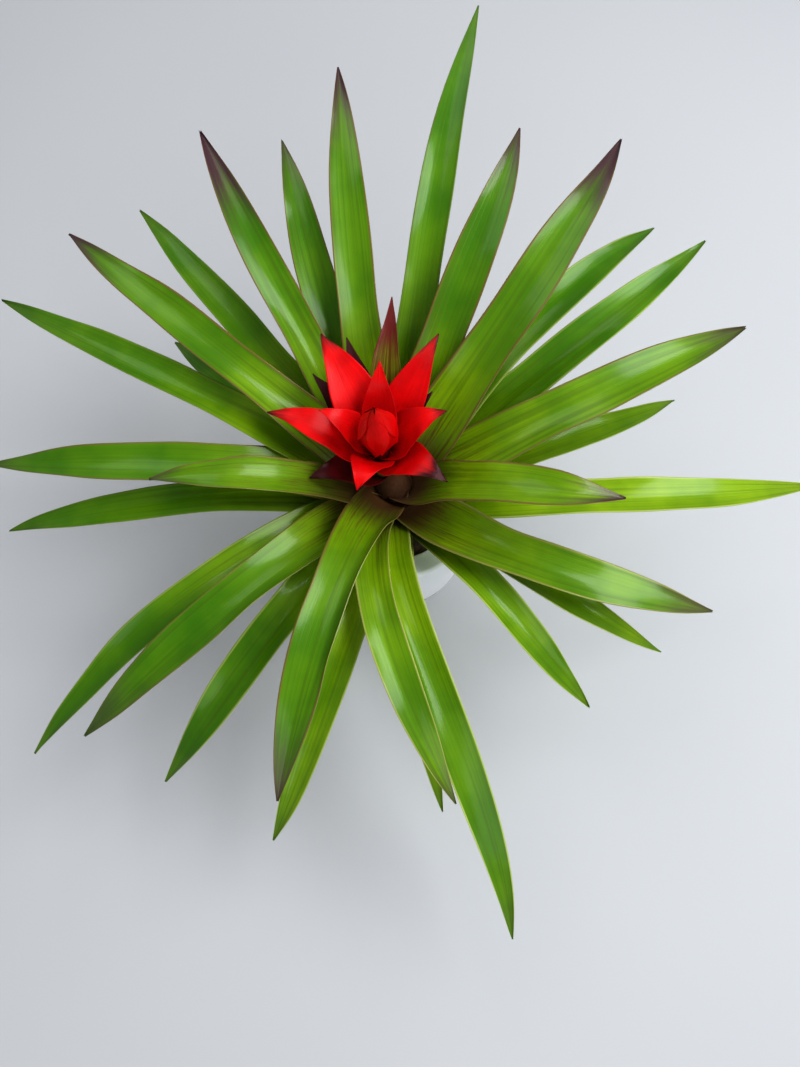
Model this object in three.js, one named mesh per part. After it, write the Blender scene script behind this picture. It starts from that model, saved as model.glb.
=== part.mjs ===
// A potted bromeliad: a rosette of strap leaves around a short stem, with a red star of bracts
// on a stalk above it, growing in a round pot. Millimetres, +Z up. The origin is the centre of
// the pot's foot, and the plant's front faces -Y.
import * as THREE from 'three';

// Gap between pieces that touch in the real plant.
const CLEARANCE = 0.4;
const ROUND_SEGMENTS = 48;

// Pot: a plain tapered wall whose rim turns inwards as a narrow sloping collar.
const POT_HEIGHT = 80;
const POT_RIM_RADIUS = 42;
const POT_FOOT_RADIUS = 36.5;
const POT_WALL = 2;
const POT_FLOOR = 3;
const POT_EDGE = 1.2;
const COLLAR_WIDTH = 11;
const COLLAR_DROP = 3;

// Growing mix: fills the pot up to just below the collar, and rises a little at the middle.
const MIX_BELOW_COLLAR = 2;
const MIX_RISE = 2.5;
const MIX_RISE_SHARE = 0.6;

// Stem: a short cone that carries the leaves, a root below it, and the flower stalk above it.
const ROOT_DEPTH = 22;
const ROOT_RADIUS = 9;
const STALK_RADIUS = 4;
const STALK_LENGTH = 38;
const STALK_POINT = 3;
const STALK_LEAN = new THREE.Vector2(-4, 1);
const STEM_SEGMENTS = 20;

// Leaves stand around the stem in tiers, counted from the outermost and lowest. Each tier's ring
// is a share of the outer one's radius smaller, and so are the necks that stand side by side on it.
const TIERS = 4;
const LEAF_BASE_ABOVE_MIX = 2.5;
const TIER_RISE = 4.5;
const OUTER_TIER_RADIUS = 17.5;
const TIER_NARROWING = 0.126;
const NECK_PER_RADIUS = 0.0365;
const LEAF = {
  thickness: 1,
  channel: 2.2,
  neck: NECK_PER_RADIUS * OUTER_TIER_RADIUS,
  widest: 0.5,
  tip: 2.3,
  stations: 10,
};

// Each leaf: the direction of its tip around the pot in degrees from +X, how far out the tip is
// and how high above the lowest leaf base, how far its middle arches up, how far it bows sideways
// near the base and hooks sideways near the tip, its width, and its tier.
const LEAVES = [
  { azimuth: -3, reach: 192, tip: 12, arch: 24, bow: -10, hook: -12, width: 16, tier: 0 },
  { azimuth: 15, reach: 140, tip: 12, arch: 20, bow: -9, hook: -9, width: 13, tier: 1 },
  { azimuth: 19, reach: 169, tip: 42, arch: 24, bow: -7, hook: -8, width: 20, tier: 2 },
  { azimuth: 33, reach: 173, tip: 52, arch: 18, bow: -1, hook: -6, width: 18, tier: 0 },
  { azimuth: 41, reach: 169, tip: 42, arch: 24, bow: 4, hook: 2, width: 17, tier: 1 },
  { azimuth: 50, reach: 162, tip: 82, arch: 22, bow: -5, hook: -8, width: 20, tier: 3 },
  { azimuth: 65, reach: 147, tip: 82, arch: 18, bow: 1, hook: -4, width: 19, tier: 2 },
  { azimuth: 76, reach: 198, tip: 92, arch: 18, bow: 1, hook: 5, width: 16, tier: 0 },
  { azimuth: 95, reach: 162, tip: 92, arch: 18, bow: 6, hook: 2, width: 17, tier: 3 },
  { azimuth: 106, reach: 150, tip: 72, arch: 20, bow: 5.5, hook: 4, width: 17, tier: 0 },
  { azimuth: 118, reach: 160, tip: 82, arch: 22, bow: 5, hook: 5, width: 16, tier: 2 },
  { azimuth: 131, reach: 170, tip: 52, arch: 20, bow: 4, hook: 4, width: 15, tier: 1 },
  { azimuth: 142, reach: 176, tip: 62, arch: 22, bow: 6, hook: 6, width: 17, tier: 3.5 },
  { azimuth: 142, reach: 134, tip: 12, arch: 20, bow: 5.5, hook: 5, width: 15, tier: 0 },
  { azimuth: 153, reach: 199, tip: 42, arch: 22, bow: 6, hook: 6, width: 15, tier: 2.5 },
  { azimuth: 176, reach: 179, tip: 32, arch: 24, bow: -1, hook: 6, width: 18, tier: 1.5 },
  { azimuth: -176, reach: 178, tip: 12, arch: 24, bow: 1.5, hook: 2, width: 15, tier: 0 },
  { azimuth: -173, reach: 96, tip: 62, arch: 20, bow: 5.5, hook: 2, width: 15, tier: 3 },
  { azimuth: -146, reach: 199, tip: -8, arch: 28, bow: -6, hook: -9, width: 14, tier: 1 },
  { azimuth: -142, reach: 171, tip: 12, arch: 30, bow: 2, hook: 4, width: 18, tier: 1.7 },
  { azimuth: -130, reach: 164, tip: -8, arch: 30, bow: 2, hook: 3, width: 17, tier: 0 },
  { azimuth: -111, reach: 162, tip: -8, arch: 30, bow: 4, hook: 6, width: 16, tier: 1 },
  { azimuth: -110, reach: 143, tip: 32, arch: 30, bow: -3, hook: -3, width: 18, tier: 3.5 },
  { azimuth: -84, reach: 144, tip: -18, arch: 28, bow: -3, hook: -3, width: 11, tier: 0 },
  { azimuth: -82, reach: 140, tip: 22, arch: 28, bow: -19, hook: -11, width: 15, tier: 2.5 },
  { azimuth: -78, reach: 199, tip: -18, arch: 34, bow: -16, hook: 5, width: 15, tier: 2 },
  { azimuth: -51, reach: 131, tip: -8, arch: 26, bow: -1, hook: -3, width: 14, tier: 0 },
  { azimuth: -35, reach: 140, tip: 2, arch: 22, bow: -5, hook: -8, width: 13, tier: 1 },
  { azimuth: -27, reach: 148, tip: 22, arch: 18, bow: -14, hook: -12, width: 19, tier: 2.5 },
  { azimuth: -18, reach: 95, tip: 62, arch: 22, bow: -3, hook: -6, width: 18, tier: 3.5 },
];

// Bracts stand around the stalk. Their rise and their tip are heights above the stalk's foot. The
// dark ones clothe the stalk, the red ones spread as a star, and the closed ones make the middle.
const BRACT = { thickness: 0.9, channel: 2, neck: 0.42, widest: 0.4, tip: 1.9, stations: 7 };
const STALK_BRACTS = [
  { azimuth: 82, reach: 60, tip: 44, arch: 8, bow: 0, hook: 0, width: 12, rise: 13 },
  { azimuth: 128, reach: 43, tip: 30, arch: 8, bow: 0, hook: 0, width: 12, rise: 4 },
  { azimuth: 104, reach: 48, tip: 36, arch: 8, bow: 0, hook: 0, width: 12, rise: 9 },
  { azimuth: 43, reach: 31, tip: 33, arch: 8, bow: 0, hook: 0, width: 12, rise: 4 },
  { azimuth: -163, reach: 31, tip: 20, arch: 8, bow: 0, hook: 0, width: 14, rise: 2 },
];
const RED_BRACTS = [
  { azimuth: 162, reach: 47, tip: 35, arch: 9, bow: 0, hook: 0, width: 14, rise: 17 },
  { azimuth: 57, reach: 48, tip: 45, arch: 9, bow: 0, hook: -1, width: 15, rise: 17 },
  { azimuth: -37, reach: 33, tip: 35, arch: 10, bow: 0, hook: 0, width: 15, rise: 17 },
  { azimuth: 116, reach: 48, tip: 45, arch: 9, bow: 0, hook: 0, width: 17, rise: 22 },
  { azimuth: 12, reach: 28, tip: 45, arch: 9, bow: 0, hook: 0, width: 15, rise: 22 },
  { azimuth: -112, reach: 24, tip: 37, arch: 9, bow: 0, hook: 0, width: 20, rise: 22 },
  { azimuth: 85, reach: 26, tip: 51, arch: 7, bow: 0, hook: 0, width: 11, rise: 26 },
  { azimuth: 159, reach: 24, tip: 46, arch: 7, bow: 0, hook: 0, width: 11, rise: 26 },
];
const CLOSED_BRACTS = 4;
const CLOSED_BRACT = { reach: 2, tip: 63, arch: 0, bow: 0, hook: 0, width: 8, rise: 34 };

const FINISHES = {
  leaf: { color: 0x3f7f1c, roughness: 0.45, metalness: 0 },
  bract: { color: 0xd8100c, roughness: 0.4, metalness: 0 },
  darkBract: { color: 0x4a1a22, roughness: 0.45, metalness: 0 },
  stem: { color: 0x6f7d35, roughness: 0.6, metalness: 0 },
  mix: { color: 0x2a1d14, roughness: 0.95, metalness: 0 },
  pot: { color: 0xf2f2ef, roughness: 0.35, metalness: 0 },
};

// Heights that follow from the sizes above.
const COLLAR_INNER_RADIUS = POT_RIM_RADIUS - COLLAR_WIDTH;
const MIX_LEVEL = POT_HEIGHT - COLLAR_DROP - POT_WALL - MIX_BELOW_COLLAR;
const MIX_TOP = MIX_LEVEL + MIX_RISE;
const FIRST_LEAF_BASE = MIX_TOP + LEAF_BASE_ABOVE_MIX;
const STEM_TOP = FIRST_LEAF_BASE + TIERS * TIER_RISE;
const STALK_FOOT = STEM_TOP + 2 * TIER_RISE;

const UP = new THREE.Vector3(0, 0, 1);

function named(name, geometry, finish) {
  const mesh = new THREE.Mesh(geometry, new THREE.MeshStandardMaterial(FINISHES[finish]));
  mesh.name = name;
  return mesh;
}

// A body turned about the Z axis from [radius, height] points.
function turned(points, segments) {
  const profile = points.map(([radius, height]) => new THREE.Vector2(radius, height));
  const geometry = new THREE.LatheGeometry(profile, segments);
  geometry.rotateX(Math.PI / 2);
  return geometry;
}

// Radius of the pot's outside at a height.
function potRadius(height) {
  return THREE.MathUtils.lerp(POT_FOOT_RADIUS, POT_RIM_RADIUS, height / POT_HEIGHT);
}

function pot() {
  const inside = (height) => potRadius(height) - POT_WALL;
  const underCollar = POT_HEIGHT - POT_WALL;
  const lipTop = POT_HEIGHT - COLLAR_DROP;
  const profile = [
    [0, 0],
    [POT_FOOT_RADIUS - POT_EDGE, 0],
    [potRadius(POT_EDGE), POT_EDGE],
    [potRadius(POT_HEIGHT - POT_EDGE), POT_HEIGHT - POT_EDGE],
    [POT_RIM_RADIUS - POT_EDGE, POT_HEIGHT],
    [COLLAR_INNER_RADIUS, lipTop],
    [COLLAR_INNER_RADIUS, lipTop - POT_WALL],
    [inside(underCollar), underCollar],
    [inside(POT_FLOOR), POT_FLOOR],
    [0, POT_FLOOR],
  ];
  return named('pot', turned(profile, ROUND_SEGMENTS), 'pot');
}

// The stem's radius where the leaves of a tier stand on it.
function tierRadius(tier) {
  return OUTER_TIER_RADIUS * (1 - tier * TIER_NARROWING);
}

function stemRadius(tier) {
  return tierRadius(tier) - LEAF.thickness / 2 - 2 * CLEARANCE;
}

function growingMix() {
  const socket = ROOT_RADIUS + CLEARANCE;
  const socketFloor = MIX_TOP - ROOT_DEPTH - CLEARANCE;
  const floor = POT_FLOOR + CLEARANCE;
  const outside = (height) => potRadius(height) - POT_WALL - CLEARANCE;
  const profile = [
    [0, floor],
    [outside(floor), floor],
    [outside(MIX_LEVEL), MIX_LEVEL],
    [outside(MIX_LEVEL) * MIX_RISE_SHARE, MIX_TOP],
    [socket, MIX_TOP],
    [socket, socketFloor],
    [0, socketFloor],
  ];
  return named('growing_mix', turned(profile, ROUND_SEGMENTS), 'mix');
}

// How far along its sideways lean the stalk is at a height: none among the leaves, all at its foot.
function leanShare(height) {
  return THREE.MathUtils.smoothstep(height, STEM_TOP, STALK_FOOT);
}

function stem() {
  const skirt = MIX_TOP + CLEARANCE;
  const stalkTop = STALK_FOOT + STALK_LENGTH;
  const steps = Array.from({ length: TIERS }, (_, tier) => (
    [stemRadius(tier), FIRST_LEAF_BASE + tier * TIER_RISE]));
  const profile = [
    [0, MIX_TOP - ROOT_DEPTH],
    [ROOT_RADIUS, MIX_TOP - ROOT_DEPTH],
    [ROOT_RADIUS, skirt],
    [stemRadius(0), skirt],
    ...steps,
    [STALK_RADIUS, (STEM_TOP + STALK_FOOT) / 2],
    [STALK_RADIUS, STALK_FOOT],
    [STALK_RADIUS, stalkTop - STALK_POINT],
    [0, stalkTop],
  ];
  const geometry = turned(profile, STEM_SEGMENTS);
  const position = geometry.getAttribute('position');
  for (let i = 0; i < position.count; i += 1) {
    const share = leanShare(position.getZ(i));
    position.setX(i, position.getX(i) + share * STALK_LEAN.x);
    position.setY(i, position.getY(i) + share * STALK_LEAN.y);
  }
  return named('stem', geometry, 'stem');
}

function heading(degrees) {
  const angle = THREE.MathUtils.degToRad(degrees);
  return new THREE.Vector3(Math.cos(angle), Math.sin(angle), 0);
}

// The arched centreline of a leaf or bract that starts on a ring of a given radius and height.
const NEAR_KNEE = 0.22;
const FAR_KNEE = 0.62;
const KNEE_GAIN = 0.75;

function arch(row, ring, tipHeight) {
  const outwards = heading(row.azimuth);
  const sideways = new THREE.Vector3().crossVectors(UP, outwards);
  const tip = outwards.clone().multiplyScalar(row.reach).setZ(tipHeight);
  const knee = (share, sway) => outwards.clone()
    .multiplyScalar(THREE.MathUtils.lerp(ring.radius, row.reach, share))
    .addScaledVector(sideways, sway / KNEE_GAIN)
    .setZ(THREE.MathUtils.lerp(ring.height, tipHeight, share) + row.arch / KNEE_GAIN);
  const near = knee(NEAR_KNEE, row.bow);
  const far = knee(FAR_KNEE, row.hook);
  const base = near.clone().setZ(0).setLength(ring.radius).setZ(ring.height);
  return new THREE.CubicBezierCurve3(base, near, far, tip);
}

// Shares of a strap's middle that are left at its blunt tip, and at its two edges.
const TIP_WIDTH = 0.04;
const TIP_CHANNEL = 0.3;
const TIP_THICKNESS = 0.5;
const EDGE_THICKNESS = 0.4;

// A closed strap along a centreline: hollowed on top, narrower at its neck, pointed at its tip.
// It starts as a flat slab, across by thickness by length, whose points move to the leaf's shape.
function strap(centreline, row, form) {
  const slab = new THREE.BoxGeometry(2, 1, 1, 4, 1, form.stations);
  const position = slab.getAttribute('position');
  for (let i = 0; i < position.count; i += 1) {
    const across = position.getX(i);
    const layer = position.getY(i);
    const along = position.getZ(i) + 0.5;
    const forwards = centreline.getTangentAt(along);
    const side = new THREE.Vector3().crossVectors(UP, forwards).normalize();
    const upper = new THREE.Vector3().crossVectors(forwards, side);
    const swell = THREE.MathUtils.lerp(form.neck, 1, THREE.MathUtils.smoothstep(along, 0, form.widest));
    const beyond = Math.max(0, (along - form.widest) / (1 - form.widest));
    const taper = 1 - (1 - TIP_WIDTH) * beyond ** form.tip;
    const channel = form.channel * THREE.MathUtils.lerp(1, TIP_CHANNEL, along);
    const depth = THREE.MathUtils.lerp(form.thickness, form.thickness * TIP_THICKNESS, along);
    const edge = across * across;
    const lift = channel * taper * edge + layer * depth * THREE.MathUtils.lerp(1, EDGE_THICKNESS, edge);
    const point = centreline.getPointAt(along)
      .addScaledVector(side, across * (row.width / 2) * swell * taper)
      .addScaledVector(upper, lift);
    position.setXYZ(i, point.x, point.y, point.z);
  }
  return slab;
}

function leaf(row, index) {
  const ring = {
    radius: tierRadius(row.tier),
    height: FIRST_LEAF_BASE + row.tier * TIER_RISE,
  };
  const name = `leaf_${String(index + 1).padStart(2, '0')}`;
  const centreline = arch(row, ring, FIRST_LEAF_BASE + row.tip);
  return named(name, strap(centreline, row, LEAF), 'leaf');
}

function bract(name, row, finish) {
  const ring = {
    radius: STALK_RADIUS + CLEARANCE + BRACT.thickness,
    height: STALK_FOOT + row.rise,
  };
  const centreline = arch(row, ring, STALK_FOOT + row.tip);
  return named(name, strap(centreline, row, BRACT), finish);
}

function flowerHead() {
  const head = new THREE.Group();
  head.position.set(STALK_LEAN.x, STALK_LEAN.y, 0);
  STALK_BRACTS.forEach((row, index) => head.add(bract(`stalk_bract_${index + 1}`, row, 'darkBract')));
  RED_BRACTS.forEach((row, index) => head.add(bract(`red_bract_${index + 1}`, row, 'bract')));
  for (let index = 0; index < CLOSED_BRACTS; index += 1) {
    const row = { ...CLOSED_BRACT, azimuth: 45 + (index * 360) / CLOSED_BRACTS };
    head.add(bract(`closed_bract_${index + 1}`, row, 'bract'));
  }
  return head;
}

const plant = new THREE.Group();
plant.add(pot(), growingMix(), stem());
LEAVES.forEach((row, index) => plant.add(leaf(row, index)));
plant.add(flowerHead());

export default plant;
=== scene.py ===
"""A potted bromeliad: glossy strap leaves, a red star of bracts, a white pot and its bark mix.

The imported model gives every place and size. Each leaf and bract starts as a copy of its plain
solid, which is made smooth, given a sheath, a waved margin and its colours, and shown instead.
Metres, +Z up, with the plant's front towards -Y.
"""
import math
import random

import bmesh
import bpy
import numpy as np
from mathutils import Matrix, Vector, noise


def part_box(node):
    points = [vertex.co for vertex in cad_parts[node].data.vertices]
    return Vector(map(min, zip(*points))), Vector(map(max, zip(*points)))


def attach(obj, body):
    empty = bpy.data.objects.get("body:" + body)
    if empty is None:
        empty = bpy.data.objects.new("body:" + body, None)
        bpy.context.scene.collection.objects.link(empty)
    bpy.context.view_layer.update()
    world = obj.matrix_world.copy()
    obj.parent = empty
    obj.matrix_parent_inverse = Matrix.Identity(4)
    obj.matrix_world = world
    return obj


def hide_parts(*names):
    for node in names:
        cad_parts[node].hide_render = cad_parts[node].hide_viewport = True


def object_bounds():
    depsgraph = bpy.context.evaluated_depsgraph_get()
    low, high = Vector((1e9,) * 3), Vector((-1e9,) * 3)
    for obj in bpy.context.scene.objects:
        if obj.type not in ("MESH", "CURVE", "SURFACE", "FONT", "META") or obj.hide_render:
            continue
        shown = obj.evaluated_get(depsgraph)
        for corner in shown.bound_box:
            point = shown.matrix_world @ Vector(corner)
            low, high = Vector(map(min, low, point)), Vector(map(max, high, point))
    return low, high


MM = 0.001
UP = Vector((0, 0, 1))

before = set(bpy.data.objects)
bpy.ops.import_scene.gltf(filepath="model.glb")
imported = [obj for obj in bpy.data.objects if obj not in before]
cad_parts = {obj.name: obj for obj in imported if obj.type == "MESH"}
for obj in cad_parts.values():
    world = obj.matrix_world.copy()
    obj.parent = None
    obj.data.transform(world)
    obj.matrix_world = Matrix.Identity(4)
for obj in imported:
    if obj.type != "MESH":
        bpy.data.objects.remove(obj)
cad_low, cad_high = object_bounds()
random.seed(7)

LEAF_NAMES = [f"leaf_{number:02d}" for number in range(1, 31)]
STALK_BRACT_NAMES = [f"stalk_bract_{number}" for number in range(1, 6)]
RED_BRACT_NAMES = [f"red_bract_{number}" for number in range(1, 9)]
CLOSED_BRACT_NAMES = [f"closed_bract_{number}" for number in range(1, 5)]


# ---------------------------------------------------------------- camera, light and floor

def camera():
    """Looks down on the plant from in front, a forearm's length above it, with a wide lens."""
    data = bpy.data.cameras.new("camera")
    data.sensor_width = 36
    data.lens = 25.09
    data.clip_start = 0.01
    right = Vector((0.99867, -0.04279, -0.02891))
    up = Vector((0.04955, 0.95159, 0.30335))
    back = right.cross(up)
    place = Matrix((right, up, back)).transposed().to_4x4()
    place.translation = Vector((0.0071, -0.1256, 0.4111))
    body = bpy.data.objects.new("camera", data)
    body.matrix_world = place
    bpy.context.scene.collection.objects.link(body)
    bpy.context.scene.camera = body


def area_light(name, place, aim, size, power, colour):
    data = bpy.data.lights.new(name, "AREA")
    data.shape = "RECTANGLE"
    data.size, data.size_y = size
    data.energy = power
    data.color = colour
    light = bpy.data.objects.new(name, data)
    light.location = place
    light.rotation_euler = (Vector(aim) - Vector(place)).to_track_quat("-Z", "Y").to_euler()
    bpy.context.scene.collection.objects.link(light)


def studio():
    """A pale floor, a pale surrounding light, and two large soft lights above."""
    world = bpy.data.worlds.new("studio")
    world.use_nodes = True
    world.node_tree.nodes["Background"].inputs["Color"].default_value = (0.86, 0.9, 1, 1)
    world.node_tree.nodes["Background"].inputs["Strength"].default_value = 0.32
    bpy.context.scene.world = world
    bpy.context.scene.view_settings.view_transform = "Standard"
    bpy.context.scene.view_settings.look = "Medium High Contrast"
    area_light("window", (0.62, 0.08, 1.0), (0, 0, 0.1), (0.8, 0.5), 12, (0.93, 0.97, 1))
    area_light("fill", (0.1, -0.95, 0.75), (0, 0, 0.1), (1.3, 0.6), 5, (0.95, 0.98, 1))
    area_light("overhead", (-0.3, 0.6, 1.1), (0, 0, 0.1), (0.7, 0.7), 3.5, (1, 1, 1))

    sheet = bmesh.new()
    bmesh.ops.create_grid(sheet, x_segments=1, y_segments=1, size=3)
    floor = piece_from(sheet, "floor")
    floor.data.materials.append(floor_paint())


# ---------------------------------------------------------------- helpers for node trees

def place_node(tree, kind, inputs=None, **settings):
    """Adds a node. Its inputs are given by socket name or number, as a value or a socket."""
    node = tree.nodes.new(kind)
    for name, value in settings.items():
        setattr(node, name, value)
    for key, value in (inputs or {}).items():
        if isinstance(value, bpy.types.NodeSocket):
            tree.links.new(value, node.inputs[key])
        else:
            node.inputs[key].default_value = value
    return node


def reckon(tree, operation, first, second=0.0, third=0.0, clamp=False):
    """One step of arithmetic on values in a node tree."""
    inputs = {0: first, 1: second, 2: third}
    node = place_node(tree, "ShaderNodeMath", inputs, operation=operation, use_clamp=clamp)
    return node.outputs[0]


def eased(tree, value, start, end, low=0.0, high=1.0):
    """Runs smoothly from low to high while the value goes from start to end."""
    inputs = {"Value": value, "From Min": start, "From Max": end, "To Min": low, "To Max": high}
    node = place_node(tree, "ShaderNodeMapRange", inputs, interpolation_type="SMOOTHSTEP")
    return node.outputs["Result"]


def blended(tree, share, first, second, kind="MIX"):
    inputs = {"Factor": share, 6: first, 7: second}
    node = place_node(tree, "ShaderNodeMix", inputs, data_type="RGBA", blend_type=kind)
    return node.outputs[2]


def noise_of(tree, vector, scale, detail=3.0, rough=0.5):
    inputs = {"Vector": vector, "Scale": scale, "Detail": detail, "Roughness": rough}
    return place_node(tree, "ShaderNodeTexNoise", inputs).outputs["Fac"]


def point_of(tree, x, y, z=0.0):
    return place_node(tree, "ShaderNodeCombineXYZ", {0: x, 1: y, 2: z}).outputs[0]


def group_of(name, inputs, outputs):
    """A new node group with named sockets. Gives the tree, its input node and its output node."""
    tree = bpy.data.node_groups.new(name, "ShaderNodeTree")
    for label, kind, value in inputs:
        socket = tree.interface.new_socket(label, in_out="INPUT", socket_type=kind)
        socket.default_value = value
    for label, kind in outputs:
        tree.interface.new_socket(label, in_out="OUTPUT", socket_type=kind)
    return tree, tree.nodes.new("NodeGroupInput"), tree.nodes.new("NodeGroupOutput")


def use_group(tree, group, inputs):
    return place_node(tree, "ShaderNodeGroup", inputs, node_tree=group)


def paint(name):
    """A material with one Principled shader. Gives the material, its tree and the shader."""
    material = bpy.data.materials.new(name)
    material.use_nodes = True
    tree = material.node_tree
    return material, tree, tree.nodes["Principled BSDF"]


def attribute(tree, name):
    return place_node(tree, "ShaderNodeAttribute", attribute_name=name).outputs["Fac"]


def own_place(tree):
    return place_node(tree, "ShaderNodeTexCoord").outputs["Object"]


def bump(tree, shader, height, distance, strength=1.0):
    inputs = {"Height": height, "Distance": distance, "Strength": strength}
    node = place_node(tree, "ShaderNodeBump", inputs)
    tree.links.new(node.outputs["Normal"], shader.inputs["Normal"])


# ---------------------------------------------------------------- shared effects

FLOAT = "NodeSocketFloat"
COLOUR = "NodeSocketColor"


def vein_group():
    """Fine lines that run along a leaf: a mask for colour, and a height."""
    tree, given, result = group_of(
        "veins",
        [("Across", FLOAT, 0), ("Along", FLOAT, 0), ("Seed", FLOAT, 0), ("Lines", FLOAT, 20)],
        [("Mask", FLOAT), ("Height", FLOAT), ("Streak", FLOAT)])
    across = reckon(tree, "MULTIPLY", given.outputs["Across"], given.outputs["Lines"])
    seed = reckon(tree, "MULTIPLY", given.outputs["Seed"], 31.7)
    slow = reckon(tree, "MULTIPLY", given.outputs["Along"], 1.6)
    fine = noise_of(tree, point_of(tree, across, slow, seed), 1.0, 4.0, 0.6)
    broad_across = reckon(tree, "MULTIPLY", across, 0.22)
    broad = noise_of(tree, point_of(tree, broad_across, slow, seed), 1.0, 1.0)
    tree.links.new(eased(tree, fine, 0.38, 0.62), result.inputs["Mask"])
    height = reckon(tree, "MULTIPLY_ADD", fine, 0.35, reckon(tree, "MULTIPLY", broad, 0.65))
    tree.links.new(height, result.inputs["Height"])
    tree.links.new(broad, result.inputs["Streak"])
    return tree


def dash_group():
    """Broken dark dashes along a leaf, as on the sheath of a bromeliad."""
    tree, given, result = group_of(
        "dashes",
        [("Across", FLOAT, 0), ("Along", FLOAT, 0), ("Seed", FLOAT, 0), ("Amount", FLOAT, 1)],
        [("Mask", FLOAT)])
    seed = reckon(tree, "MULTIPLY", given.outputs["Seed"], 17.3)
    across = reckon(tree, "MULTIPLY", given.outputs["Across"], 24)
    along = reckon(tree, "MULTIPLY", given.outputs["Along"], 7)
    lines = noise_of(tree, point_of(tree, across, along, seed), 1.0, 2.0, 0.5)
    cuts = noise_of(tree, point_of(tree, reckon(tree, "MULTIPLY", across, 1.7),
                                   reckon(tree, "MULTIPLY", along, 4), seed), 1.0, 2.0)
    line_mask = eased(tree, lines, 0.48, 0.64)
    cut_mask = eased(tree, cuts, 0.34, 0.5)
    mask = reckon(tree, "MULTIPLY", reckon(tree, "MULTIPLY", line_mask, cut_mask),
                  given.outputs["Amount"])
    tree.links.new(mask, result.inputs["Mask"])
    return tree


def tip_group():
    """A dark tip that creeps back along the margins, with an uneven edge."""
    tree, given, result = group_of(
        "dark tip",
        [("Across", FLOAT, 0), ("Along", FLOAT, 0), ("Seed", FLOAT, 0), ("Start", FLOAT, 0.8),
         ("Margin", FLOAT, 0.1)],
        [("Tip", FLOAT), ("Edge", FLOAT)])
    seed = reckon(tree, "MULTIPLY", given.outputs["Seed"], 9.1)
    side = reckon(tree, "ABSOLUTE", given.outputs["Across"])
    ragged = noise_of(tree, point_of(tree, reckon(tree, "MULTIPLY", given.outputs["Across"], 3),
                                     reckon(tree, "MULTIPLY", given.outputs["Along"], 5), seed),
                      1.0, 3.0)
    shift = reckon(tree, "MULTIPLY_ADD", reckon(tree, "SUBTRACT", ragged, 0.5), 0.25,
                   reckon(tree, "MULTIPLY", side, 0.08))
    reach = reckon(tree, "SUBTRACT", reckon(tree, "ADD", given.outputs["Along"], shift),
                   given.outputs["Start"])
    tree.links.new(eased(tree, reach, -0.04, 0.2), result.inputs["Tip"])
    wander = reckon(tree, "MULTIPLY", reckon(tree, "SUBTRACT", ragged, 0.5),
                    given.outputs["Margin"])
    closeness = reckon(tree, "SUBTRACT", reckon(tree, "ADD", side, wander),
                       reckon(tree, "SUBTRACT", 1, given.outputs["Margin"]))
    edge_end = reckon(tree, "MULTIPLY", given.outputs["Margin"], 0.6)
    tree.links.new(eased(tree, closeness, 0.0, edge_end), result.inputs["Edge"])
    return tree


VEINS = vein_group()
DASHES = dash_group()
DARK_TIP = tip_group()


# ---------------------------------------------------------------- materials

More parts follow.
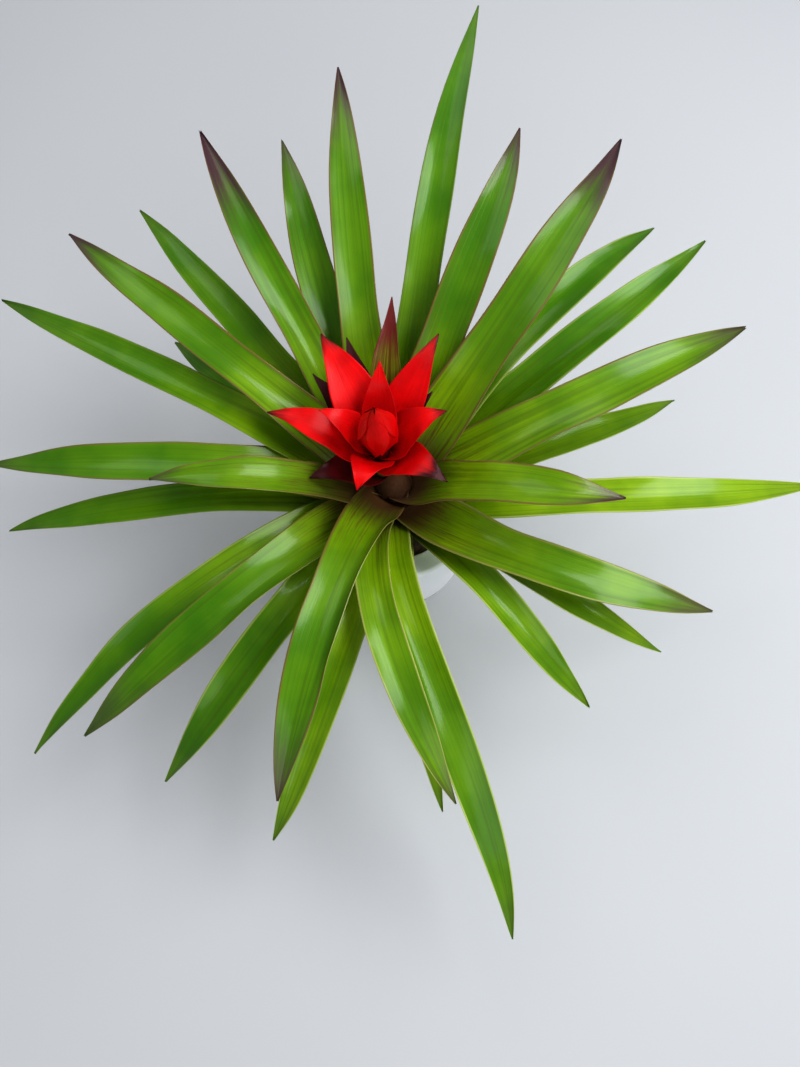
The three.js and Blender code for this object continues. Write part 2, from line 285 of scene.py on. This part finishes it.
def leaf_paint():
    """Living leaf: deep green, yellower towards the base partly as painted light on the shaded
    rosette centre, fine lines, a dark tip and a stained sheath.
    """
    material, tree, shader = paint("leaf")
    across = attribute(tree, "across")
    along = attribute(tree, "along")
    seed = attribute(tree, "seed")
    warmth = attribute(tree, "warmth")
    purple = attribute(tree, "purple")
    stain = attribute(tree, "stain")
    pale_margin = attribute(tree, "pale_margin")
    upper = attribute(tree, "upper")
    on_strap = {"Across": across, "Along": along, "Seed": seed}

    veins = use_group(tree, VEINS, {**on_strap, "Lines": 26.0})
    patches = noise_of(tree, own_place(tree), 38.0, 3.0)
    deep = blended(tree, eased(tree, patches, 0.3, 0.7), (0.030, 0.12, 0.001, 1),
                   (0.070, 0.18, 0.002, 1))
    bright = blended(tree, eased(tree, patches, 0.3, 0.7), (0.14, 0.25, 0.002, 1),
                     (0.24, 0.36, 0.004, 1))
    # Painted light: each leaf turns yellower and brighter towards its base. This is partly the
    # leaf's own tone and partly painted light lifting the shaded centre of the rosette.
    base_yellow_and_painted_light = eased(tree, along, 0.6, 0.08)
    yellow_and_painted_light_share = reckon(tree, "MULTIPLY_ADD", base_yellow_and_painted_light, 0.8, warmth, clamp=True)
    green = blended(tree, yellow_and_painted_light_share, deep, bright)
    streak = eased(tree, veins.outputs["Streak"], 0.45, 0.75, 0.0, 0.4)
    streaked = blended(tree, streak, green, (0.045, 0.075, 0.002, 1))
    lined = blended(tree, reckon(tree, "MULTIPLY", veins.outputs["Mask"], 0.17), streaked,
                    (0.02, 0.085, 0.001, 1))

    dashes = use_group(tree, DASHES, {**on_strap, "Amount": 1.0})
    reach = reckon(tree, "DIVIDE", along, stain)
    dash_zone = eased(tree, reach, 0.42, 0.08)
    dashed = blended(tree, reckon(tree, "MULTIPLY", dashes.outputs["Mask"], dash_zone), lined,
                     (0.10, 0.05, 0.010, 1))
    sheath = eased(tree, reach, 0.22, 0.04)
    stained = blended(tree, sheath, dashed, (0.080, 0.034, 0.013, 1))

    tip_start = attribute(tree, "tip_start")
    tip = use_group(tree, DARK_TIP, {**on_strap, "Start": tip_start, "Margin": 0.13})
    tip_share = reckon(tree, "MULTIPLY", tip.outputs["Tip"], purple)
    tipped = blended(tree, tip_share, stained, (0.060, 0.020, 0.034, 1))
    edge_dark = reckon(tree, "MULTIPLY", tip.outputs["Edge"],
                       reckon(tree, "MULTIPLY", purple, 0.85))
    edged = blended(tree, edge_dark, tipped, (0.10, 0.020, 0.012, 1))
    edge_pale = reckon(tree, "MULTIPLY", tip.outputs["Edge"], pale_margin)
    margined = blended(tree, edge_pale, edged, (0.42, 0.48, 0.12, 1))
    pallor = reckon(tree, "MULTIPLY", reckon(tree, "MULTIPLY_ADD", pale_margin, 0.5, 0.35),
                    eased(tree, along, 0.08, 0.3))
    underside = blended(tree, pallor, margined, (0.42, 0.52, 0.20, 1))
    colour = blended(tree, upper, underside, margined)
    tree.links.new(colour, shader.inputs["Base Color"])

    rough = eased(tree, veins.outputs["Height"], 0.3, 0.7, 0.34, 0.50)
    tree.links.new(rough, shader.inputs["Roughness"])
    shader.inputs["Specular IOR Level"].default_value = 0.35
    shader.inputs["Specular Tint"].default_value = (0.6, 1, 0.2, 1)
    shader.inputs["Coat Weight"].default_value = 0.28
    shader.inputs["Coat Roughness"].default_value = 0.16
    bump(tree, shader, veins.outputs["Height"], 0.22 * MM)
    return material


def bract_paint(name, flesh, deep_flesh, dark, lines_share, roughness):
    """A waxy bract with painted shade towards its base and a dark pointed tip."""
    material, tree, shader = paint(name)
    across = attribute(tree, "across")
    along = attribute(tree, "along")
    seed = attribute(tree, "seed")
    on_strap = {"Across": across, "Along": along, "Seed": seed}
    veins = use_group(tree, VEINS, {**on_strap, "Lines": 14.0})
    patches = noise_of(tree, own_place(tree), 70.0, 2.0)
    ground = blended(tree, eased(tree, patches, 0.3, 0.7), deep_flesh, flesh)
    lined = blended(tree, reckon(tree, "MULTIPLY", veins.outputs["Mask"], lines_share), ground,
                    deep_flesh)
    # Painted shade: the bract darkens to its deeper colour towards its base, where it sinks among
    # the other bracts.
    painted_base_shade = blended(tree, eased(tree, along, 0.3, 0.0), lined, deep_flesh)
    tip_start = attribute(tree, "tip_start")
    tip = use_group(tree, DARK_TIP, {**on_strap, "Start": tip_start, "Margin": 0.08})
    tip_share = reckon(tree, "MULTIPLY", tip.outputs["Tip"], attribute(tree, "purple"))
    colour = blended(tree, tip_share, painted_base_shade, dark)
    tree.links.new(colour, shader.inputs["Base Color"])
    rough = eased(tree, veins.outputs["Height"], 0.3, 0.7, roughness - 0.06, roughness + 0.08)
    tree.links.new(rough, shader.inputs["Roughness"])
    shader.inputs["Specular IOR Level"].default_value = 0.25
    shader.inputs["Specular Tint"].default_value = (1, 0.3, 0.3, 1)
    shader.inputs["Coat Weight"].default_value = 0.1
    shader.inputs["Coat Roughness"].default_value = 0.25
    bump(tree, shader, veins.outputs["Height"], 0.25 * MM)
    return material


def pot_paint():
    """White moulded plastic with a faint cool tone, soft scuffs and a little splashed soil."""
    material, tree, shader = paint("pot plastic")
    place = own_place(tree)
    cloud = noise_of(tree, place, 30.0, 3.0)
    white = blended(tree, cloud, (0.88, 0.90, 0.92, 1), (0.94, 0.95, 0.96, 1))
    specks = noise_of(tree, place, 900.0, 2.0)
    speck_mask = eased(tree, specks, 0.70, 0.76)
    colour = blended(tree, reckon(tree, "MULTIPLY", speck_mask, 0.35), white,
                     (0.25, 0.19, 0.13, 1))
    tree.links.new(colour, shader.inputs["Base Color"])
    tree.links.new(eased(tree, cloud, 0.3, 0.7, 0.28, 0.42), shader.inputs["Roughness"])
    bump(tree, shader, noise_of(tree, place, 1400.0, 2.0), 0.03 * MM)
    return material


def mix_paint(name, light, dark):
    """Bark and peat, coarse and matt."""
    material, tree, shader = paint(name)
    place = own_place(tree)
    grain = noise_of(tree, place, 420.0, 5.0, 0.65)
    colour = blended(tree, eased(tree, grain, 0.3, 0.7), dark, light)
    tree.links.new(colour, shader.inputs["Base Color"])
    tree.links.new(eased(tree, grain, 0.2, 0.8, 0.8, 1.0), shader.inputs["Roughness"])
    bump(tree, shader, grain, 0.8 * MM)
    return material


def stem_paint():
    """Stem: dark brown-purple among the leaves, partly its own colour and partly painted shade in
    the cup; olive with dark marks up the stalk; dark red at the top as painted shade under the
    flower head.
    """
    material, tree, shader = paint("stem")
    place = own_place(tree)
    stretched = place_node(tree, "ShaderNodeMapping", {"Vector": place, "Scale": (1, 1, 0.12)})
    fibres = noise_of(tree, stretched.outputs["Vector"], 900.0, 4.0, 0.6)
    height = place_node(tree, "ShaderNodeSeparateXYZ", {0: place}).outputs["Z"]
    stalk = eased(tree, height, 0.108, 0.116)
    # Painted shade: the dark brown-purple below the stalk is partly the stem's own colour and
    # partly the shade that fills the cup among the leaf bases.
    dark = blended(tree, fibres, (0.035, 0.012, 0.005, 1), (0.090, 0.036, 0.012, 1))
    olive = blended(tree, fibres, (0.10, 0.12, 0.02, 1), (0.20, 0.20, 0.05, 1))
    cup_shade_and_stalk = blended(tree, stalk, dark, olive)
    # Painted shade: the top of the stalk turns dark red to stand for the shadowed gap beneath the
    # flower head.
    colour = blended(tree, eased(tree, height, 0.118, 0.126), cup_shade_and_stalk, (0.16, 0.004, 0.004, 1))
    tree.links.new(colour, shader.inputs["Base Color"])
    shader.inputs["Roughness"].default_value = 0.5
    bump(tree, shader, fibres, 0.3 * MM)
    return material


def floor_paint():
    """A plain pale sheet to stand the pot on."""
    material, tree, shader = paint("floor")
    cloud = noise_of(tree, own_place(tree), 3.0, 2.0)
    colour = blended(tree, cloud, (0.44, 0.44, 0.45, 1), (0.48, 0.48, 0.48, 1))
    tree.links.new(colour, shader.inputs["Base Color"])
    shader.inputs["Roughness"].default_value = 0.75
    return material


# ---------------------------------------------------------------- pieces

def piece_from(mesh, name):
    data = bpy.data.meshes.new(name)
    mesh.to_mesh(data)
    mesh.free()
    data.shade_smooth()
    made = bpy.data.objects.new(name, data)
    bpy.context.scene.collection.objects.link(made)
    return made


def shown(piece, node, material):
    """The piece stands for a CAD node, rides with it and takes its finish."""
    piece.data.materials.clear()
    piece.data.materials.append(material)
    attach(piece, "root")
    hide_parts(node)
    return piece


def merged(node):
    """A copy of a node's solid with its corners merged."""
    mesh = bmesh.new()
    mesh.from_mesh(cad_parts[node].data)
    bmesh.ops.remove_doubles(mesh, verts=mesh.verts, dist=0.01 * MM)
    mesh.normal_update()
    return mesh


# Each ring of a packed strap has this many pairs of vertices. Edges sharper than the angle, in
# radians, keep their crease.
COLUMNS = 5
RING = 2 * COLUMNS
CREASE_ANGLE = 0.9


def flat_normal(points, ahead):
    """The normal of the plane that the points lie in, on the side that ahead points to."""
    offsets = np.array(points) - np.mean(points, axis=0)
    normal = Vector(np.linalg.svd(offsets)[2][2])
    return normal if normal.dot(ahead) > 0 else -normal


def strap_rings(mesh, root):
    """The strap's flat rings of vertices from base to tip, each with its middle and heading."""
    left = sorted(mesh.verts, key=lambda v: (v.co - root).length)
    ring, left = left[:RING], left[RING:]
    middle = sum((v.co for v in ring), Vector()) / RING
    ahead = sum((v.co for v in left), Vector()) / len(left) - middle
    while True:
        heading = flat_normal([v.co for v in ring], ahead)
        yield ring, middle, heading
        if not left:
            return
        left.sort(key=lambda v: (v.co - middle).dot(heading))
        ring, left = left[:RING], left[RING:]
        next_middle = sum((v.co for v in ring), Vector()) / RING
        ahead, middle = next_middle - middle, next_middle


def strap_shape(node, root):
    """A strap as quads, with each vertex's place along and across it kept on the mesh.

    A strap is a row of flat rings, each of five pairs of vertices, an upper and a lower one.
    """
    mesh = merged(node)
    along = mesh.verts.layers.float.new("along")
    across = mesh.verts.layers.float.new("across")
    upper = mesh.verts.layers.float.new("upper")
    centre = mesh.verts.layers.float_vector.new("centre")
    side = mesh.verts.layers.float_vector.new("side")
    lift = mesh.verts.layers.float_vector.new("lift")
    last = len(mesh.verts) / RING - 1
    spot = {}
    for station, (ring, middle, heading) in enumerate(strap_rings(mesh, root)):
        sideways = UP.cross(heading).normalized()
        above = heading.cross(sideways)
        ring.sort(key=lambda v: v.co.dot(sideways))
        for column in range(COLUMNS):
            pair = sorted(ring[2 * column:2 * column + 2], key=lambda v: v.co.dot(above))
            for layer, vertex in enumerate(pair):
                spot[vertex] = (station, column, layer)
                vertex[along] = station / last
                vertex[across] = 2 * column / (COLUMNS - 1) - 1
                vertex[upper] = layer
                vertex[centre] = middle
                vertex[side] = sideways
                vertex[lift] = above
    diagonals = [edge for edge in mesh.edges
                 if sum(a != b for a, b in zip(spot[edge.verts[0]], spot[edge.verts[1]])) > 1]
    bmesh.ops.dissolve_edges(mesh, edges=diagonals, use_verts=False)
    crease = mesh.edges.layers.float.new("crease_edge")
    for edge in mesh.edges:
        if edge.calc_face_angle(0) > CREASE_ANGLE:
            edge[crease] = 1.0
    return mesh


def smoothed(mesh, name, levels):
    """The mesh after Subdivision Surface, as a new mesh that can still be shaped."""
    rough = piece_from(mesh, name)
    modifier = rough.modifiers.new("smooth", "SUBSURF")
    modifier.levels = modifier.render_levels = levels
    depsgraph = bpy.context.evaluated_depsgraph_get()
    data = bpy.data.meshes.new_from_object(rough.evaluated_get(depsgraph))
    bpy.data.objects.remove(rough)
    fine = bmesh.new()
    fine.from_mesh(data)
    bpy.data.meshes.remove(data)
    return fine


def ease(value, start, end):
    share = min(max((value - start) / (end - start), 0.0), 1.0)
    return share * share * (3 - 2 * share)


# Shares of a strap's length: where it has its full width, and where its point and the closing
# of a bud begin. Then the tightest wrap round the stem, how rounded and how low the fold along
# the middle is, how much of the wave is sideways, the share of the half width where a rolled
# margin starts, and the thickness that a rolled margin keeps at its base.
FULL_WIDTH_AT = 0.45
POINT_FROM = 0.35
TIGHTEST_WRAP = 4 * MM
FOLD_ROUNDING = 0.12
FOLD_LOW = 0.55
SIDEWAYS_WAVE = 0.6
CURL_FROM = 0.4
STRAP_THICKNESS = 1 * MM


def inside_box(point):
    """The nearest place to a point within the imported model's box."""
    return Vector(min(max(value, low), high)
                  for value, low, high in zip(point, cad_low, cad_high))


def shape_strap(mesh, look, axis):
    """Wraps the base of a strap round the stem, waves its margins and rolls one of its edges."""
    layers = mesh.verts.layers
    along, across = layers.float["along"], layers.float["across"]
    upper = layers.float["upper"]
    centre, side = layers.float_vector["centre"], layers.float_vector["side"]
    lift = layers.float_vector["lift"]
    phase = look["seed"] * 50
    for vertex in mesh.verts:
        t, u = vertex[along], vertex[across]
        edge = u * u
        sideways = vertex[side].normalized()
        above = vertex[lift].normalized()
        x = (vertex.co - vertex[centre]).dot(sideways)

        middle = vertex.co - sideways * x
        x *= look["widen"] + (look["fullness"] - look["widen"]) * ease(t, 0.0, FULL_WIDTH_AT)
        x *= 1 - look["point"] * ease(t, POINT_FROM, 1.0)
        arm = middle - axis
        arm.z = 0
        middle += arm.normalized() * look["bulge"] * math.sin(math.pi * t)
        middle -= arm * look["closing"] * ease(t, POINT_FROM, 1.0)
        wrap = 1 - ease(t, *look["sheath"])
        turn = Matrix.Rotation(x / max(arm.length, TIGHTEST_WRAP), 3, "Z")
        wrapped = axis + turn @ (middle - axis) * (1 + look["overlap"] * u)
        wrapped.z = middle.z
        fold = look["fold"] * (math.sqrt(edge + FOLD_ROUNDING) - FOLD_LOW) * (1 - 0.7 * t)
        vertex.co = (middle + sideways * x + above * fold).lerp(wrapped, wrap)

        wave = noise.noise(Vector((t * 6 + phase, math.copysign(1, u) * 3, phase)))
        vertex.co += above * (wave * look["wave"] * edge * ease(t, 0.05, 0.3))
        sway = noise.noise(Vector((t * 4 + phase, 9, phase)))
        vertex.co += sideways * (sway * look["wave"] * SIDEWAYS_WAVE * edge * ease(t, 0.1, 0.4))

        curl_side, curl_start, curl_end, curl = look["curl"]
        rolled = (u * curl_side - CURL_FROM) / (1 - CURL_FROM)
        zone = ease(t, curl_start, curl_start + 0.12) * (1 - ease(t, curl_end - 0.15, curl_end))
        angle = curl * zone * rolled
        if rolled > 0 and angle > 0.01:
            outwards = sideways * curl_side
            arc_length = rolled * (1 - CURL_FROM) * abs(x / u)
            radius = arc_length / angle
            thickness = STRAP_THICKNESS * (1 - 0.5 * t) * (1 - 0.6 * edge)
            depth = (vertex[upper] - 0.5) * thickness
            vertex.co += outwards * ((radius - depth) * math.sin(angle) - arc_length)
            vertex.co += above * (radius - depth) * (1 - math.cos(angle))
        vertex.co = inside_box(vertex.co)


NO_CURL = (1, 0, 1, 0)
STAND_IN_LOOK = {
    "seed": 0.0, "warmth": 0.0, "purple": 0.0, "stain": 1.0, "pale_margin": 0.0, "tip_start": 0.8,
    "sheath": (0.0, 0.2), "widen": 1.0, "fullness": 1.0, "point": 0.0, "bulge": 0.0,
    "closing": 0.0, "overlap": 0.05, "fold": 0.0, "wave": 0.0, "curl": NO_CURL,
}
PAINTED = ("seed", "warmth", "purple", "stain", "pale_margin", "tip_start")


def strap_piece(node, name, root, axis, look):
    """A finished leaf or bract, with its own colours kept on it as attributes."""
    mesh = smoothed(strap_shape(node, root), name, 2)
    shape_strap(mesh, look, axis)
    for label in PAINTED:
        layer = mesh.verts.layers.float.new(label)
        for vertex in mesh.verts:
            vertex[layer] = look[label]
    for label in ("centre", "side", "lift"):
        mesh.verts.layers.float_vector.remove(mesh.verts.layers.float_vector[label])
    piece = piece_from(mesh, name)
    modifier = piece.modifiers.new("smooth", "SUBSURF")
    modifier.levels = modifier.render_levels = 1
    return piece


# What differs between the leaves, by leaf number: how strong the dark tip is and where it starts,
# how yellow the leaf is, how pale its margin, how far up its base is stained, and how much wider
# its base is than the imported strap's neck. A curl gives the side, where along the leaf it starts
# and ends, and its turn in radians.
PURPLE_TIPS = {3: 0.8, 6: 1, 7: 1, 9: 1, 10: 0.8, 11: 1, 13: 1, 16: 0.7, 18: 0.8, 20: 0.5,
               23: 0.9, 25: 0.8, 29: 0.8, 30: 1}
TIP_STARTS = {3: 0.84, 6: 0.77, 7: 0.84, 9: 0.82, 11: 0.75, 13: 0.84, 16: 0.9, 20: 0.8, 23: 0.84,
              29: 0.82, 30: 0.82}
YELLOW_LEAVES = {1: 0.75, 2: 0.45, 3: 0.3, 18: 0.3, 22: 0.35, 24: 0.55, 25: 0.25, 26: 0.15,
                 27: 0.3, 28: 0.55, 29: 0.3, 30: 0.6}
PALE_MARGINS = {1: 0.6, 2: 0.4, 19: 0.3, 21: 0.5, 22: 0.6, 24: 0.9, 25: 0.5, 26: 0.8, 27: 0.6,
                28: 0.7, 29: 0.3, 5: 0.4, 4: 0.4}
STAINED = {3: 0.7, 6: 0.8, 7: 0.6, 9: 0.8, 11: 0.7, 13: 1, 15: 0.7, 16: 1, 18: 2.4, 20: 1,
           23: 1, 25: 0.9, 29: 1, 30: 1.3}
BASE_WIDTHS = {25: 1.5, 26: 1.8}
CURLS = {20: (1, 0.1, 0.6, 0.8), 23: (1, 0.1, 0.75, 1.2), 26: (-1, 0.05, 0.5, 1.5)}
USUAL_PURPLE = 0.25
USUAL_TIP_START = 0.88
USUAL_PALE_MARGIN = 0.1
USUAL_STAIN = 0.35
USUAL_BASE_WIDTH = 2.0
LEAF_FOLD = 2.2 * MM
LEAF_WAVE = 1.6 * MM
BRACT_WAVE = 0.8 * MM


def leaves():
    """All leaves, shaped about the pot's own axis."""
    material = leaf_paint()
    root = Vector((0, 0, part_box("leaf_30")[0].z))
    for number, node in enumerate(LEAF_NAMES, 1):
        look = {
            **STAND_IN_LOOK,
            "seed": random.random(),
            "warmth": YELLOW_LEAVES.get(number, 0.0) + random.uniform(0, 0.12),
            "purple": PURPLE_TIPS.get(number, USUAL_PURPLE),
            "tip_start": TIP_STARTS.get(number, USUAL_TIP_START),
            "stain": STAINED.get(number, USUAL_STAIN),
            "pale_margin": PALE_MARGINS.get(number, USUAL_PALE_MARGIN),
            "widen": BASE_WIDTHS.get(number, USUAL_BASE_WIDTH),
            "fold": LEAF_FOLD,
            "wave": LEAF_WAVE,
            "curl": CURLS.get(number, NO_CURL),
        }
        piece = strap_piece(node, f"strap_{node}", root, Vector((0, 0, 0)), look)
        shown(piece, node, material)


def flower():
    """The bracts, shaped about an upright axis through the middle of the closed ones."""
    closed = [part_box(name) for name in CLOSED_BRACT_NAMES]
    x = sum((low.x + high.x) / 2 for low, high in closed) / len(closed)
    y = sum((low.y + high.y) / 2 for low, high in closed) / len(closed)
    axis = Vector((x, y, 0))
    root = Vector((x, y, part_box("stalk_bract_5")[0].z))
    red = bract_paint("red bract", (0.70, 0.002, 0.003, 1), (0.42, 0.001, 0.002, 1),
                      (0.020, 0.004, 0.006, 1), 0.3, 0.42)
    striped = bract_paint("striped bract", (0.15, 0.17, 0.006, 1), (0.07, 0.04, 0.003, 1),
                          (0.09, 0.010, 0.008, 1), 1.0, 0.42)
    maroon = bract_paint("maroon bract", (0.20, 0.006, 0.010, 1), (0.07, 0.005, 0.006, 1),
                         (0.028, 0.005, 0.006, 1), 0.5, 0.42)

    def finish(nodes, slot, material, **changes):
        for node in nodes:
            look = {**STAND_IN_LOOK, "seed": random.random(), "purple": 1.0, "sheath": (0.0, 0.4),
                    "widen": 2.4, "fullness": 1.2, "point": 0.35, "wave": BRACT_WAVE,
                    **changes}
            piece = strap_piece(node, f"waxy_{node}", root, axis, look)
            shown(piece, node, material)

    finish(STALK_BRACT_NAMES[:1], "bract_dark", striped, tip_start=0.62)
    finish(STALK_BRACT_NAMES[1:4], "bract_dark", maroon, tip_start=0.55)
    finish(STALK_BRACT_NAMES[4:], "bract_dark", maroon, tip_start=0.7)
    finish(RED_BRACT_NAMES[:2] + RED_BRACT_NAMES[3:5], "bract_red", red, tip_start=0.86)
    finish(RED_BRACT_NAMES[5:6], "bract_red", red, tip_start=0.95, fullness=0.85, widen=1.6)
    finish(RED_BRACT_NAMES[2:3], "bract_red", red, tip_start=0.68)
    finish(RED_BRACT_NAMES[6:], "bract_red", red, tip_start=1.0, fullness=1.3)
    finish(CLOSED_BRACT_NAMES, "bract_red", red, purple=0.0, wave=0.0, sheath=(0.98, 1.0),
           widen=2.6, fullness=1.9, point=0.0, bulge=2.6 * MM, closing=0.97)


def joined(mesh):
    """The same mesh with its triangles joined in pairs where they are nearly flat."""
    bmesh.ops.join_triangles(mesh, faces=mesh.faces, angle_face_threshold=0.5,
                             angle_shape_threshold=1.3)
    return mesh


def stem():
    mesh = smoothed(joined(merged("stem")), "stem_smooth", 2)
    shown(piece_from(mesh, "stem_and_stalk"), "stem", stem_paint())


def spun(name, outline, segments):
    """A closed body of revolution from (radius, height) points, first and last on the axis."""
    mesh = bmesh.new()
    points = [mesh.verts.new((radius, 0, height)) for radius, height in outline]
    edges = [mesh.edges.new(pair) for pair in zip(points, points[1:])]
    bmesh.ops.spin(mesh, geom=points + edges, cent=(0, 0, 0), axis=(0, 0, 1), dvec=(0, 0, 0),
                   angle=math.tau, steps=segments, use_merge=True, use_normal_flip=False,
                   use_duplicate=False)
    bmesh.ops.remove_doubles(mesh, verts=mesh.verts, dist=0.01 * MM)
    bmesh.ops.recalc_face_normals(mesh, faces=mesh.faces)
    return mesh


def arc(centre, radius, start, end, count):
    """Points on a circle of the outline, from one angle in degrees to another."""
    for index in range(count + 1):
        angle = math.radians(start + (end - start) * index / count)
        yield (centre[0] + radius * math.cos(angle), centre[1] + radius * math.sin(angle))


def pot():
    """The pot: rounded foot, plain tapered wall, rolled rim and an inward collar."""
    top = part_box("pot")[1]
    rim, height = top.x, top.z
    foot = rim - 5.5 * MM
    foot_round = 1.2 * MM
    wall = 2 * MM
    base = 3 * MM
    roll = 1.6 * MM
    drop = 3 * MM
    collar = rim - 11 * MM
    collar_middle = rim - 6 * MM
    lip = height - drop
    lip_round = 0.9 * MM

    def side(share):
        """The radius of the wall's outside at a share of the height."""
        return foot + share * (rim - foot)

    outline = [
        (0, 0), (foot - 3 * MM, 0),
        *arc((foot - foot_round, foot_round), foot_round, -90, 0, 4),
        (side(0.35), 0.35 * height),
        (side(0.7), 0.7 * height),
        *arc((rim - roll, height - roll), roll, 0, 110, 8),
        (collar_middle, height - drop / 2),
        *arc((collar + lip_round, lip - lip_round), lip_round, 90, 270, 6),
        (collar_middle, lip - wall * 0.7),
        (rim - 3 * MM, lip - wall),
        (side(0.5) - wall, 0.5 * height),
        (foot - wall, base + 1 * MM), (foot - wall - 2 * MM, base), (0, base)]
    body = piece_from(spun("pot", outline, 96), "pot_body")
    shown(body, "pot", pot_paint())


CHIPS = 170
CHIP_LENGTHS = (1.5, 5)
CHIP_WIDTHS = (1, 2.6)
CHIP_HEIGHTS = (0.5, 1.1)
CHIP_TILT = 0.35
FIRST_CHIP_RADIUS = 19 * MM


def growing_mix():
    """The mix's body with a rough top, and loose chips of bark lying on it."""
    low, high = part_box("growing_mix")
    mesh = smoothed(joined(merged("growing_mix")), "mix_smooth", 2)
    for vertex in mesh.verts:
        if vertex.co.z > high.z - 6 * MM:
            rough = noise.noise(vertex.co * 260)
            vertex.co.z += rough * 0.9 * MM
    shown(piece_from(mesh, "bark_mix"), "growing_mix",
          mix_paint("peat", (0.10, 0.06, 0.035, 1), (0.022, 0.014, 0.009, 1)))

    chips = bmesh.new()
    ring = high.x - 3 * MM
    for _ in range(CHIPS):
        angle = random.uniform(0, math.tau)
        reach = random.uniform(FIRST_CHIP_RADIUS, ring)
        level = low.z + (high.z - low.z) * 0.985 - 2.2 * MM * (reach / ring)
        size = Vector([random.uniform(*span) for span in (CHIP_LENGTHS, CHIP_WIDTHS, CHIP_HEIGHTS)])
        made = bmesh.ops.create_cube(chips, size=1.0)["verts"]
        for vertex in made:
            vertex.co += Vector([random.uniform(-0.12, 0.12) for _ in range(3)])
        bmesh.ops.scale(chips, vec=size * MM, verts=made)
        tilt = Matrix.Rotation(random.uniform(-CHIP_TILT, CHIP_TILT), 3, "X")
        spin = Matrix.Rotation(random.uniform(0, math.tau), 3, "Z")
        bmesh.ops.rotate(chips, cent=(0, 0, 0), matrix=spin @ tilt, verts=made)
        place = Vector((reach * math.cos(angle), reach * math.sin(angle), level))
        bmesh.ops.translate(chips, vec=place, verts=made)
    piece = piece_from(chips, "bark_chips")
    piece.data.shade_flat()
    bark = mix_paint("bark", (0.16, 0.085, 0.045, 1), (0.04, 0.022, 0.013, 1))
    piece.data.materials.append(bark)
    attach(piece, "root")


camera()
pot()
growing_mix()
stem()
leaves()
flower()
studio()
